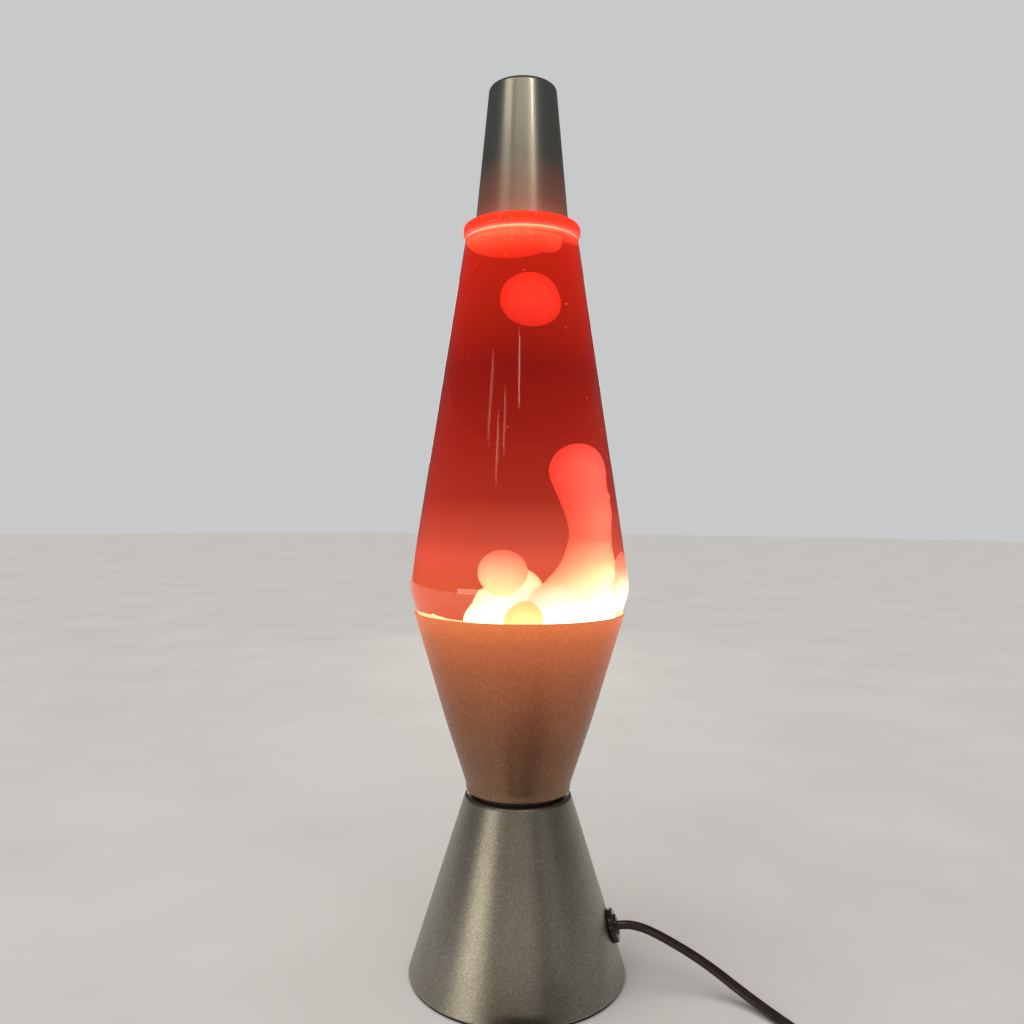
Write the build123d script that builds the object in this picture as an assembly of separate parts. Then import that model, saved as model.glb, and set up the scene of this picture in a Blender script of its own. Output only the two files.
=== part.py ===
from build123d import *
import math
import os

# A lava lamp: a glass bottle of coloured liquid and wax, standing in a two-cone spun aluminium base
# that holds a small screw lamp, with an aluminium cone as its cap.
# Millimetres. The origin is the middle of the foot, on the surface it stands on; +Z is up, and the
# cord leaves towards +X.

# Base: lower cone, waist and upper cup
FOOT_R = 51.0
CONE_Z = 1.2
WAIST_Z = 84.5
WAIST_R = 24.75
CONE_WALL = 0.9
HEM_R = 48.2
CUP_Z = 86.0
CUP_WALL = 0.7
CUP_NECK_R = 24.3
LIP_Z = 170.0
LIP_R = 49.2
CLAMP_HOLE_R = 14.5
SCREW_X = 18.6

# Bottle
WIDEST_Z = 181.1
WIDEST_R = 51.4
BEAD_Z = 344.2
BEAD_R = 27.3
BEAD_TOP_Z = 349.3
CONE_TOP_R = 26.15
BOTTLE_FOOT_Z = 133.0
BOTTLE_FOOT_R = 37.23
GLASS_WALL = 2.65
BOTTLE_TOP_Z = 371.5
LIQUID_Z = 343.4

# Cap
CAP_Z = 349.6
CAP_TOP_Z = 414.0
CAP_R = 21.8
CAP_TOP_R = 15.7
CAP_WALL = 0.7

# Wax that travels on its own
BLOB = (3.2, -12.0, 311.3)
BLOB_R = 11.3
BLOB_STRETCH = 1.09
BLOB_DROP = 50.0
BLOB_LIFT = 3.0

# Lamp and socket
SOCKET_Z = 57.0
SOCKET_R = 12.6
SOCKET_FLOOR_Z = 62.0
TERMINAL_Z = 59.5
BULB_TOP_Z = 124.0

# Cord: flat twin lead, 5.4 mm wide and 2.8 mm thick
CORD_WIDTH = 5.4
CORD_THICK = 2.8
BUSHING_Z = 23.6
BUSHING_TURN = -6.2
BUSHING_R = 7.7
BUSHING_REACH = 3.4
COIL_X = 0.0
COIL_Y = -102.0
COIL_TURN_RADII = (26.5, 32.0, 37.5)
COIL_LAYERS = 3
LAYER_STEP = 2.9
SWITCH_X = 58.0
SWITCH_LENGTH = 50.0
SWITCH_WIDTH = 24.0
SWITCH_HEIGHT = 12.0
SWITCH_SPLIT_Z = 5.0
WHEEL_R = 9.2
WHEEL_OFFSET = 5.4
PLUG_AT = (60.0, -87.0)
PLUG_TURN = -30.0
PLUG_AXIS_Z = 7.0
PLUG_LENGTH = 28.0
RELIEF_LENGTH = 20.0
RELIEF_TIP_R = 3.5
RELIEF_ROOT_R = 5.2

# Worked out from the driving dimensions
cone_slope = (FOOT_R - WAIST_R) / (WAIST_Z - CONE_Z)
cone_wall_flat = CONE_WALL * math.hypot(1, cone_slope)
taper_slope = (WIDEST_R - BOTTLE_FOOT_R) / (WIDEST_Z - BOTTLE_FOOT_Z)
cup_wall_flat = CUP_WALL * math.hypot(1, taper_slope)
bushing_lean = math.atan(cone_slope)
switch_y = COIL_Y - COIL_TURN_RADII[-1]
coil_height = CORD_THICK + (COIL_LAYERS - 1) * LAYER_STEP


def turned(*corners):
    """A solid turned about Z; a corner is (radius, height) or (radius, height, rounding)."""
    points = [(corner[0], 0, corner[1]) for corner in corners]
    rounding = [corner[2] if len(corner) > 2 else 0 for corner in corners]
    outline = FilletPolyline(*points, radius=rounding, close=True)
    return revolve(make_face(outline), Axis.Z)


def rod(start, end, radius):
    """A round bar from one point to another."""
    along = Vector(end) - Vector(start)
    upright = Cylinder(radius, along.length, align=(Align.CENTER, Align.CENTER, Align.MIN))
    return Plane(origin=start, z_dir=along) * upright


def upright_rod(x, y, low, high, radius):
    """A round bar that stands along Z."""
    return rod((x, y, low), (x, y, high), radius)


def block(x, y, z):
    """A box between two corners, given as (low, high) along each axis."""
    middle = [(low + high) / 2 for low, high in (x, y, z)]
    return Pos(*middle) * Box(x[1] - x[0], y[1] - y[0], z[1] - z[0])


def bend_radii(points):
    """The largest arc at each corner: 0.45 of its shorter run over the tangent of half its turn."""
    radii = []
    for before, corner, after in zip(points, points[1:], points[2:]):
        run_in = Vector(corner) - Vector(before)
        run_out = Vector(after) - Vector(corner)
        turn = math.radians(run_in.get_angle(run_out))
        radii.append(0.45 * min(run_in.length, run_out.length) / math.tan(turn / 2))
    return radii


def routed(name, points, section, level=False):
    """A cord along straight runs joined by tangent arcs; it prints its radii, length and volume.

    A level cord keeps the section's width horizontal all the way.
    """
    radii = bend_radii(points)
    path = FilletPolyline(*points, radius=radii)
    along = Vector(points[1]) - Vector(points[0])
    across = Vector(0, 0, 1).cross(along)
    start = Plane(origin=points[0], x_dir=across, z_dir=along)
    face = start * section
    above = Pos(0, 0, 20) * Wire(path.edges()) if level else None
    cord = sweep(face, path=path, binormal=above)
    print(name, "bend radii", [round(radius, 1) for radius in radii])
    print(name, "length", round(path.length, 1), "volume", round(cord.volume, 1), end=" ")
    print("section x length", round(section.area * path.length, 1))
    return cord


# ---- base ---------------------------------------------------------------------------------


def cone_radius(z):
    """Outer radius of the lower cone at a height."""
    return FOOT_R - (z - CONE_Z) * cone_slope


def bushing_frame():
    """The cord bushing's place on the lower cone's wall, with its Z along the way out."""
    turn = math.radians(BUSHING_TURN)
    across = Vector(-math.sin(turn), math.cos(turn), 0)
    outward = Vector(
        math.cos(turn) * math.cos(bushing_lean),
        math.sin(turn) * math.cos(bushing_lean),
        math.sin(bushing_lean),
    )
    radius = cone_radius(BUSHING_Z)
    wall = (radius * math.cos(turn), radius * math.sin(turn), BUSHING_Z)
    return Plane(origin=wall, x_dir=across, z_dir=outward)


def screw_holes(part, low, high):
    """Cuts the two clamp screws' clearance holes."""
    for x in (-SCREW_X, SCREW_X):
        part -= upright_rod(x, 0, low, high, 1.6)
    return part


def base_cone():
    """Spun lower cone: a hem turned in at the foot, a flat ring turned in at the waist, one cord hole."""
    inner_top = WAIST_Z - CONE_WALL
    hem_top = CONE_Z + CONE_WALL
    wall = turned(
        (HEM_R, CONE_Z),
        (FOOT_R, CONE_Z, 0.5),
        (WAIST_R, WAIST_Z, 1.8),
        (CLAMP_HOLE_R, WAIST_Z),
        (CLAMP_HOLE_R, inner_top),
        (cone_radius(inner_top) - cone_wall_flat, inner_top, 1.0),
        (cone_radius(hem_top) - cone_wall_flat, hem_top),
        (HEM_R, hem_top),
    )
    cord_hole = bushing_frame() * Cylinder(6.3, 8)
    return screw_holes(wall - cord_hole, WAIST_Z - 3, WAIST_Z + 1)


def base_cup():
    """Spun upper cup that the bottle stands in: a flat ring at the bottom, a plain rounded lip."""
    floor_top = CUP_Z + CUP_WALL
    wall = turned(
        (SOCKET_R + 0.6, CUP_Z),
        (CUP_NECK_R, CUP_Z, 1.6),
        (CUP_NECK_R + 0.4, CUP_Z + 4.2, 10),
        (34.6, 120.5, 200),
        (LIP_R, LIP_Z, 0.3),
        (LIP_R - cup_wall_flat, LIP_Z, 0.3),
        (34.6 - cup_wall_flat, 120.5, 200),
        (CUP_NECK_R - 0.35, CUP_Z + 4.3, 9),
        (CUP_NECK_R - 0.75, floor_top, 0.9),
        (SOCKET_R + 0.6, floor_top),
    )
    return screw_holes(wall, CUP_Z - 1, floor_top + 1)


def waist_ring():
    """Black spacer ring clamped between the two cones."""
    ring = turned((CLAMP_HOLE_R, WAIST_Z), (21.6, WAIST_Z), (21.6, CUP_Z), (CLAMP_HOLE_R, CUP_Z))
    return screw_holes(ring, WAIST_Z - 1, CUP_Z + 1)


def foot_ring():
    """Soft ring glued under the hem; the lamp stands on it."""
    return turned((46.5, 0), (50.2, 0, 0.3), (50.2, CONE_Z), (46.5, CONE_Z))


def bottom_cover():
    """Fibre disc that the hem holds in the foot."""
    low = CONE_Z + CONE_WALL
    return turned((0, low), (49.0, low), (49.0, low + 1.5), (0, low + 1.5))


# ---- lampholder ---------------------------------------------------------------------------


def socket_body():
    """Moulded lampholder: a cup with a clamping flange at its mouth and two terminal screw holes."""
    flange_z = WAIST_Z - CONE_WALL
    body = turned(
        (0, SOCKET_Z),
        (SOCKET_R, SOCKET_Z, 1.0),
        (SOCKET_R, flange_z),
        (14.2, flange_z),
        (14.2, CUP_Z),
        (9.6, CUP_Z, 0.5),
        (9.6, SOCKET_FLOOR_Z),
        (0, SOCKET_FLOOR_Z),
    )
    for side in (-1, 1):
        body -= rod((0, side * 7, TERMINAL_Z), (0, side * 14, TERMINAL_Z), 1.45)
    return body


def socket_shell():
    """Brass sleeve that the lamp's cap screws into."""
    return turned((9.05, 64.5), (9.5, 64.5), (9.5, 84.0), (9.05, 84.0))


def centre_contact():
    """Brass leaf under the lamp's tip."""
    leaf = block((-7, 7), (-2, 2), (SOCKET_FLOOR_Z, SOCKET_FLOOR_Z + 0.5))
    return leaf + upright_rod(0, 0, SOCKET_FLOOR_Z + 0.4, SOCKET_FLOOR_Z + 1.1, 2.4)


def terminal_screws():
    """The two terminal screws in the lampholder's sides."""
    screws = []
    for side in (-1, 1):
        head_y = side * SOCKET_R
        shank = rod((0, side * 8, TERMINAL_Z), (0, head_y, TERMINAL_Z), 1.35)
        head = rod((0, head_y, TERMINAL_Z), (0, head_y + side * 1.5, TERMINAL_Z), 2.5)
        slot_depth = sorted((head_y + side * 0.9, head_y + side * 2))
        slot = block((-3, 3), slot_depth, (TERMINAL_Z - 0.3, TERMINAL_Z + 0.3))
        screws.append(shank + head - slot)
    return Compound(children=screws)


def socket_bracket():
    """Steel plate under the waist that carries the lampholder's flange."""
    high = WAIST_Z - CONE_WALL
    low = high - 1.2
    plate = block((-22, 22), (-5.5, 5.5), (low, high)) + upright_rod(0, 0, low, high, 16.2)
    plate -= upright_rod(0, 0, low - 1, high + 1, SOCKET_R + 0.2)
    return screw_holes(plate, low - 1, high + 1)


def bracket_screws():
    """Two pan-head screws through both cones and the bracket."""
    seat = CUP_Z + CUP_WALL
    screws = []
    for x in (-SCREW_X, SCREW_X):
        shank = upright_rod(x, 0, 78.2, seat, 1.5)
        head = upright_rod(x, 0, seat, seat + 1.8, 2.75)
        slot = block((x - 3, x + 3), (-0.35, 0.35), (seat + 1.0, seat + 2))
        screws.append(shank + head - slot)
    return Compound(children=screws)


def ringed(low, high, outside, bore):
    """A washer or nut of the given outside section on each clamp screw."""
    rings = []
    for x in (-SCREW_X, SCREW_X):
        blank = Pos(x, 0, low) * extrude(outside, high - low)
        rings.append(blank - upright_rod(x, 0, low - 1, high + 1, bore))
    return Compound(children=rings)


def bracket_washers():
    """Two washers under the bracket."""
    high = WAIST_Z - CONE_WALL - 1.2
    return ringed(high - 0.5, high, Circle(3.2), 1.6)


def bracket_nuts():
    """Two hexagon nuts under the washers."""
    high = WAIST_Z - CONE_WALL - 1.7
    return ringed(high - 2.4, high, RegularPolygon(2.75, 6, major_radius=False), 1.52)


def socket_leads():
    """Two insulated wires from the terminals, down inside the cone and out through the bushing."""
    frame = bushing_frame()
    leads = []
    for side in (-1, 1):
        inside = frame.from_local_coords((side * 1.35, 0, -20))
        mouth = frame.from_local_coords((side * 1.35, 0, BUSHING_REACH))
        points = [
            (0, side * 15.3, TERMINAL_Z + 2.0),
            (0.5, side * 15.3, TERMINAL_Z - 11),
            (4.5, side * 12.5, TERMINAL_Z - 24),
            (10.5, side * 6.5, TERMINAL_Z - 36),
            tuple(inside),
            tuple(mouth),
        ]
        leads.append(routed("socket_leads", points, Circle(1.1)))
    return Compound(children=leads)


# ---- lamp ---------------------------------------------------------------------------------


def bulb_glass():
    """Round-topped glass envelope, open into its cap."""
    wall = 0.6
    outside = turned(
        (0, BULB_TOP_Z),
        (17.5, BULB_TOP_Z, 16.9),
        (17.5, 100.0, 14),
        (7.0, 85.0, 6),
        (7.0, 79.0),
        (0, 79.0),
    )
    inside = turned(
        (0, BULB_TOP_Z - wall),
        (17.5 - wall, BULB_TOP_Z - wall, 16.3),
        (17.5 - wall, 100.2, 13.4),
        (7.0 - wall, 85.2, 6.4),
        (7.0 - wall, 78.0),
        (0, 78.0),
    )
    return outside - inside


def bulb_cap():
    """Intermediate screw cap with rolled thread ridges."""
    pitch = 2.82
    turns = 5
    outer = [(7.3, 66.4), (8.2, 66.4)]
    for turn in range(turns):
        low = 66.8 + turn * pitch
        outer += [(7.8, low), (8.4, low + pitch / 2)]
    outer += [(7.8, 66.8 + turns * pitch), (7.8, 82.4), (7.3, 82.4)]
    return turned(*outer)


def bulb_insulator():
    """Black glass ring between the cap and the tip."""
    return turned((0, 65.0), (3.6, 65.0, 0.5), (7.2, 66.6, 0.4), (7.2, 67.8), (0, 67.8))


def bulb_tip():
    """Solder contact at the lamp's end."""
    return turned((0, 63.4), (2.6, 63.4, 0.9), (2.9, 65.0), (0, 65.0))


def bulb_stem():
    """Glass mount inside the envelope, with its flare sealed in the neck."""
    return turned((0, 79.4), (6.2, 79.4), (6.2, 80.2), (2.4, 83.5, 2), (2.0, 96.0, 0.8), (0, 96.0))


def bulb_wires():
    """The two lead-in wires that hold the filament's ends."""
    wires = [rod((side * 1.2, 0, 96.0), (side * 6.5, 0, 104.0), 0.3) for side in (-1, 1)]
    return Compound(children=wires)


def filament():
    """Coiled filament, as one fine bow between the lead-in wires."""
    ends = [(-6.5, 0, 104.3), (0, 0, 106.6), (6.5, 0, 104.3)]
    bow = ThreePointArc(*ends)
    section = Plane(origin=bow @ 0, z_dir=bow % 0) * Circle(0.35)
    return sweep(section, path=bow)


# ---- bottle and its contents ----------------------------------------------------------------


def bottle_inside(gap, top):
    """The space in the bottle below a height, kept a gap away from the glass."""
    wall = GLASS_WALL + gap
    floor_z = BOTTLE_FOOT_Z + 4.2 + gap
    neck_r = 9.8 - gap
    space = turned(
        (0, floor_z),
        (BOTTLE_FOOT_R - wall + 1.2, floor_z, 5),
        (WIDEST_R - wall, WIDEST_Z, 13),
        (CONE_TOP_R - wall, BEAD_Z - 0.4 - gap, 2.5),
        (12.5, 350.2 - gap, 3),
        (neck_r, 356.0, 4),
        (neck_r, BOTTLE_TOP_Z + 1),
        (0, BOTTLE_TOP_Z + 1),
    )
    return space & block((-60, 60), (-60, 60), (floor_z - 1, top))


def bottle():
    """Blown glass bottle: tapered foot, long cone, bead ring, shoulder, neck and lip."""
    outside = turned(
        (0, BOTTLE_FOOT_Z + 1.8),
        (22, BOTTLE_FOOT_Z + 1.8, 3),
        (26, BOTTLE_FOOT_Z, 2),
        (BOTTLE_FOOT_R, BOTTLE_FOOT_Z, 6),
        (WIDEST_R, WIDEST_Z, 15),
        (CONE_TOP_R, BEAD_Z, 0.5),
        (BEAD_R, BEAD_Z + 0.6, 1.2),
        (BEAD_R, BEAD_TOP_Z, 1.6),
        (17.5, BEAD_TOP_Z, 3),
        (12.7, 357.5, 5),
        (12.3, 366.4, 0.6),
        (13.3, 367.2, 0.4),
        (13.3, BOTTLE_TOP_Z, 0.9),
        (0, BOTTLE_TOP_Z),
    )
    return outside - bottle_inside(0, BOTTLE_TOP_Z + 1)


def crown_cap():
    """Crimped steel crown over the bottle's lip, with its flutes."""
    crown = turned(
        (0, 373.0),
        (13.7, 373.0, 0.8),
        (13.7, 367.0),
        (13.0, 366.2),
        (13.5, 365.8),
        (14.5, 366.9),
        (14.2, 373.5, 1.2),
        (0, 373.5),
    )
    for place in PolarLocations(14.3, 21):
        crown += place * Pos(0, 0, 368.2) * Cylinder(0.75, 3.6)
    return crown


def crown_liner():
    """Soft seal between the lip and the crown."""
    return turned((0, BOTTLE_TOP_Z), (13.0, BOTTLE_TOP_Z), (13.0, 372.9), (0, 372.9))


def heat_coil():
    """Wire coil that lies on the bottle's floor, as the ring that its turns fill."""
    return Pos(0, 0, BOTTLE_FOOT_Z + 6.4) * Torus(27.0, 1.8)


def wax_column():
    """The rising column of wax, thick at its foot and head and thin between."""
    sections = [
        (25.0, -8.0, 164.0, 17.0),
        (25.5, -9.0, 180.0, 15.0),
        (27.0, -12.0, 193.0, 11.0),
        (27.4, -14.0, 206.0, 9.3),
        (25.2, -14.4, 220.0, 10.3),
        (22.3, -14.0, 232.0, 11.2),
    ]
    column = loft([Plane(origin=(x, y, z)) * Circle(radius) for x, y, z, radius in sections])
    return column + Pos(22.3, -14.0, 234.3) * Sphere(12.0)


def wax_ball():
    """Ball of wax that rests on the left of the mass."""
    return Pos(-7.1, -22.0, 189.4) * Sphere(9.4)


def wax_dome():
    """Small dome of the hottest wax, at the front just inside the cup's lip."""
    return Pos(2.0, -29.5, 170.8) * Sphere(9.3)


def wax_mass():
    """The molten wax in the bottom of the bottle, with its mound and column."""
    pool = upright_rod(0, 0, BOTTLE_FOOT_Z, 168.0, WIDEST_R)
    mound = Pos(15.0, -3.0, 160.0) * Sphere(28.0)
    peak = Pos(39.5, -10.0, 189.0) * Sphere(8.0)
    mass = (pool + mound + peak + wax_column()) & bottle_inside(0.2, 250)
    return mass - heat_coil() - wax_ball() - wax_dome()


def wax_pancake():
    """Flat blob that hangs under the liquid's surface."""
    lens = turned((0, 330.6), (8.0, 331.2, 6), (17.3, 338.8, 2.5), (17.3, LIQUID_Z), (0, LIQUID_Z))
    return Pos(-4.0, -4.0, 0) * lens


def wax_blob():
    """Free ball of wax, a little taller than it is wide."""
    return Pos(*BLOB) * scale(Sphere(BLOB_R), by=(1, 1, BLOB_STRETCH))


def lamp_liquid():
    """The liquid around the wax, with an upright channel where the free ball travels."""
    x, y, z = BLOB
    half = BLOB_R * BLOB_STRETCH + 0.4
    channel = upright_rod(x, y, z - BLOB_DROP - half, z + BLOB_LIFT + half, BLOB_R + 0.4)
    liquid = bottle_inside(0.1, LIQUID_Z) - channel
    for wax in (wax_mass(), wax_ball(), wax_dome(), wax_pancake(), heat_coil()):
        liquid -= wax
    return liquid


def top_cap():
    """Spun aluminium cone that covers the bottle's neck."""
    return turned(
        (CAP_R, CAP_Z, 0.3),
        (CAP_TOP_R, CAP_TOP_Z, 2.4),
        (0, CAP_TOP_Z),
        (0, CAP_TOP_Z - CAP_WALL),
        (CAP_TOP_R - CAP_WALL, CAP_TOP_Z - CAP_WALL, 1.8),
        (CAP_R - CAP_WALL, CAP_Z, 0.3),
    )


# ---- cord and what is on it -----------------------------------------------------------------


def cord_bushing():
    """Strain relief in the cone's wall: flange outside, barbed body inside, a flat slot for the cord."""
    body = turned(
        (0, -9.0),
        (5.6, -9.0, 0.5),
        (6.9, -3.6),
        (6.9, -2.4),
        (6.2, -2.4),
        (6.2, 0.05),
        (BUSHING_R, 0.05),
        (BUSHING_R, 2.4, 0.8),
        (4.7, 2.4, 0.4),
        (4.3, BUSHING_REACH, 0.4),
        (0, BUSHING_REACH),
    )
    slot = extrude(SlotOverall(CORD_WIDTH + 0.2, CORD_THICK + 0.2), 20, both=True)
    return bushing_frame() * (body - slot)


def flat_lead():
    """Cross-section of the flat twin lead."""
    return SlotOverall(CORD_WIDTH, CORD_THICK)


def power_cord():
    """Lead from the bushing, down to the surface, round through the switch and into the coil."""
    low = CORD_THICK / 2
    in_switch = 0.8 + CORD_THICK / 2 + 0.1
    mouth = bushing_frame().from_local_coords((0, 0, BUSHING_REACH))
    points = [
        tuple(mouth),
        (57.5, -6.3, 24.3),
        (72.5, -11.0, 18.4),
        (87.0, -17.5, 11.6),
        (100.5, -28.5, 4.6),
        (112.0, -43.5, low + 0.2),
        (124.0, -64.0, low),
        (130.5, -89.0, low),
        (126.5, -115.0, low),
        (108.5, -133.5, low + 0.2),
        (SWITCH_X + SWITCH_LENGTH / 2 + 1, switch_y + 0.3, in_switch),
        (SWITCH_X - SWITCH_LENGTH / 2 - 1, switch_y - 0.3, in_switch),
        (9.0, switch_y + 0.5, low),
    ]
    return routed("power_cord", points, flat_lead(), level=True)


def cord_coil():
    """The rest of the lead, wound into a neat flat coil."""
    inner = COIL_TURN_RADII[0] - CORD_WIDTH / 2
    outer = COIL_TURN_RADII[-1] + CORD_WIDTH / 2
    ring = turned((inner, 0), (outer, 0), (outer, coil_height), (inner, coil_height))
    return Pos(COIL_X, COIL_Y, 0) * ring


def plug_lead():
    """Short tail from the top of the coil to the plug."""
    top = coil_height - CORD_THICK / 2
    back = COIL_Y + COIL_TURN_RADII[-1]
    points = [
        (COIL_X - 2, back, top),
        (COIL_X + 18, back - 0.8, top - 0.3),
        (COIL_X + 40.1, PLUG_AT[1] + 11.5, PLUG_AXIS_Z),
        (PLUG_AT[0], PLUG_AT[1], PLUG_AXIS_Z),
    ]
    return routed("plug_lead", points, flat_lead(), level=True)


def switch_outline():
    """The switch housing's plan: a rectangle with rounded ends."""
    return Pos(SWITCH_X, switch_y) * RectangleRounded(SWITCH_LENGTH, SWITCH_WIDTH, 8)


def switch_screw_places():
    """The two corners where screws hold the halves together."""
    return [(SWITCH_X - 16, switch_y - 7.5), (SWITCH_X + 16, switch_y - 7.5)]


def wheel_centre():
    """The thumb wheel's upright axis."""
    return SWITCH_X, switch_y + WHEEL_OFFSET


def switch_base():
    """Lower half of the switch: a tray with the cord's channel and the wheel's pin."""
    tray = extrude(switch_outline(), SWITCH_SPLIT_Z)
    tray = fillet(tray.faces().sort_by(Axis.Z)[0].edges(), 1.0)
    half = CORD_WIDTH / 2 + 0.2
    channel = block(
        (SWITCH_X - 30, SWITCH_X + 30), (switch_y - half, switch_y + half), (0.8, 0.8 + CORD_THICK + 0.2)
    )
    tray -= channel
    x, y = wheel_centre()
    tray += upright_rod(x, y, SWITCH_SPLIT_Z - 0.5, SWITCH_HEIGHT - 1.8, 1.5)
    for x, y in switch_screw_places():
        tray -= upright_rod(x, y, -1, SWITCH_SPLIT_Z + 1, 1.6)
        tray -= upright_rod(x, y, -1, 2.2, 3.0)
    return tray


def switch_cover():
    """Upper half of the switch, hollow round the wheel and open at one side for the thumb."""
    shell = Pos(0, 0, SWITCH_SPLIT_Z) * extrude(switch_outline(), SWITCH_HEIGHT - SWITCH_SPLIT_Z)
    shell = fillet(shell.faces().sort_by(Axis.Z)[-1].edges(), 2.4)
    x, y = wheel_centre()
    shell -= upright_rod(x, y, SWITCH_SPLIT_Z - 1, SWITCH_HEIGHT - 2.3, WHEEL_R + 0.35)
    shell -= upright_rod(x, y, SWITCH_SPLIT_Z - 1, SWITCH_HEIGHT - 1.6, 1.6)
    for x, y in switch_screw_places():
        shell -= upright_rod(x, y, SWITCH_SPLIT_Z - 1, SWITCH_HEIGHT - 2.5, 1.3)
    return shell


def switch_wheel():
    """Knurled thumb wheel on the base's pin."""
    x, y = wheel_centre()
    low = SWITCH_SPLIT_Z + 0.4
    high = SWITCH_HEIGHT - 2.7
    wheel = upright_rod(x, y, low, high, WHEEL_R)
    wheel -= upright_rod(x, y, low - 1, high + 1, 1.56)
    for place in PolarLocations(WHEEL_R + 0.25, 30):
        wheel -= Pos(x, y, (low + high) / 2) * place * Cylinder(0.55, high - low + 2)
    return wheel


def switch_screws():
    """Two screws up through the base into the cover."""
    screws = []
    for x, y in switch_screw_places():
        shank = upright_rod(x, y, 2.2, SWITCH_HEIGHT - 3.2, 1.25)
        head = upright_rod(x, y, 0.5, 2.2, 2.7)
        slot = block((x - 3, x + 3), (y - 0.35, y + 0.35), (0.4, 1.1))
        screws.append(shank + head - slot)
    return Compound(children=screws)


def plug_frame():
    """The plug's place: its cord end at the middle of its back, its X along the blades."""
    return Pos(PLUG_AT[0], PLUG_AT[1], 0) * Rot(0, 0, PLUG_TURN)


def plug_blade_slots(inset, grow):
    """The two blades' boxes in the plug's own frame, from an inset inside the face."""
    blades = []
    for side in (-1, 1):
        y = side * 6.35
        half = 0.75 + grow
        tall = 3.175 + grow
        reach = (PLUG_LENGTH - inset, PLUG_LENGTH + 17.5)
        blades.append(block(reach, (y - half, y + half), (PLUG_AXIS_Z - tall, PLUG_AXIS_Z + tall)))
    return blades


def plug_relief():
    """Tapered strain relief round the lead, ribbed so that it bends, in the plug's own frame."""
    root = RELIEF_LENGTH + 1
    relief = turned((0, 0), (RELIEF_TIP_R, 0, 0.5), (RELIEF_ROOT_R, root), (0, root))
    for rib in range(5):
        low = 2.6 + 3.4 * rib
        bottom_r = RELIEF_TIP_R - 0.4 + low * (RELIEF_ROOT_R - RELIEF_TIP_R) / RELIEF_LENGTH
        relief -= turned((bottom_r, low), (8, low), (8, low + 1.3), (bottom_r, low + 1.3))
    lead_slot = Rot(0, 0, 90) * SlotOverall(CORD_WIDTH + 0.2, CORD_THICK + 0.2)
    relief -= extrude(lead_slot, RELIEF_LENGTH)
    return Pos(-RELIEF_LENGTH, 0, PLUG_AXIS_Z) * Rot(0, 90, 0) * relief


def plug_body():
    """Moulded two-pin plug body, waisted where fingers grip it, with its strain relief."""
    side = [(0, 5.5), (11, 8.5), (18, 13), (PLUG_LENGTH, 13)]
    mirrored = [(x, -y) for x, y in reversed(side)]
    outline = FilletPolyline(*side, *mirrored, radius=[2, 8, 5, 1.5, 1.5, 5, 8, 2], close=True)
    body = extrude(make_face(outline), 2 * PLUG_AXIS_Z)
    ends = body.faces().sort_by(Axis.Z)
    body = fillet(ends[0].edges() + ends[-1].edges(), 1.4) + plug_relief()
    for slot in plug_blade_slots(6, 0.02):
        body -= slot
    return plug_frame() * body


def plug_blades():
    """Two flat blades with a hole near each end."""
    blades = []
    for blade in plug_blade_slots(5.9, 0):
        hole = rod((PLUG_LENGTH + 14.3, -10, PLUG_AXIS_Z), (PLUG_LENGTH + 14.3, 10, PLUG_AXIS_Z), 1.6)
        blades.append(plug_frame() * (blade - hole))
    return Compound(children=blades)


PARTS = [
    base_cone,
    base_cup,
    waist_ring,
    foot_ring,
    bottom_cover,
    socket_body,
    socket_shell,
    centre_contact,
    terminal_screws,
    socket_bracket,
    bracket_screws,
    bracket_washers,
    bracket_nuts,
    socket_leads,
    bulb_glass,
    bulb_cap,
    bulb_insulator,
    bulb_tip,
    bulb_stem,
    bulb_wires,
    filament,
    bottle,
    crown_cap,
    crown_liner,
    heat_coil,
    wax_mass,
    wax_ball,
    wax_dome,
    wax_pancake,
    wax_blob,
    lamp_liquid,
    top_cap,
    cord_bushing,
    power_cord,
    cord_coil,
    plug_lead,
    switch_base,
    switch_cover,
    switch_wheel,
    switch_screws,
    plug_body,
    plug_blades,
]

os.makedirs("parts", exist_ok=True)
for make in PARTS:
    export_step(make(), f"parts/{make.__name__}.step")
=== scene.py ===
import math
import random

import bmesh
import bpy
import numpy as np
from mathutils import Matrix, Vector


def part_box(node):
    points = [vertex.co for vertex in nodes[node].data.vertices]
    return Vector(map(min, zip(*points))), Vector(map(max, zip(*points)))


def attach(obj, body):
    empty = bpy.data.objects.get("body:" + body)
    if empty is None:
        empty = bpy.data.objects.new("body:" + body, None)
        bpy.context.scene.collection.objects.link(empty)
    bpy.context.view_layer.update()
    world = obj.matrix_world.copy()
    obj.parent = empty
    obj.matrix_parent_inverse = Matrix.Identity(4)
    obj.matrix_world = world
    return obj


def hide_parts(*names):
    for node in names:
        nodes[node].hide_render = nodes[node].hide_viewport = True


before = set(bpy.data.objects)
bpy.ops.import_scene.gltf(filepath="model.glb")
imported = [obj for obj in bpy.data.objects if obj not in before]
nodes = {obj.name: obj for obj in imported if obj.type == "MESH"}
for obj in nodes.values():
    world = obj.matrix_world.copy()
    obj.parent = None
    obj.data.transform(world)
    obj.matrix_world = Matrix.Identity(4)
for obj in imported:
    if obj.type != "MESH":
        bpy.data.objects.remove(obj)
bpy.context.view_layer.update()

# The lamp is shown lit. Lengths are in metres; MM turns a length in millimetres into metres.
MM = 0.001
scene = bpy.context.scene
scene.view_settings.view_transform = "Standard"


# ---- camera -------------------------------------------------------------------------------


CAMERA_PLACE = (-0.00377, -0.4229, 0.2208)
CAMERA_LENS = 31.64
SENSOR_WIDTH = 36.0
NEAREST_SEEN = 0.02
DEGREES_DOWN = 0.61
DEGREES_OF_LEAN = 0.40


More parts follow.
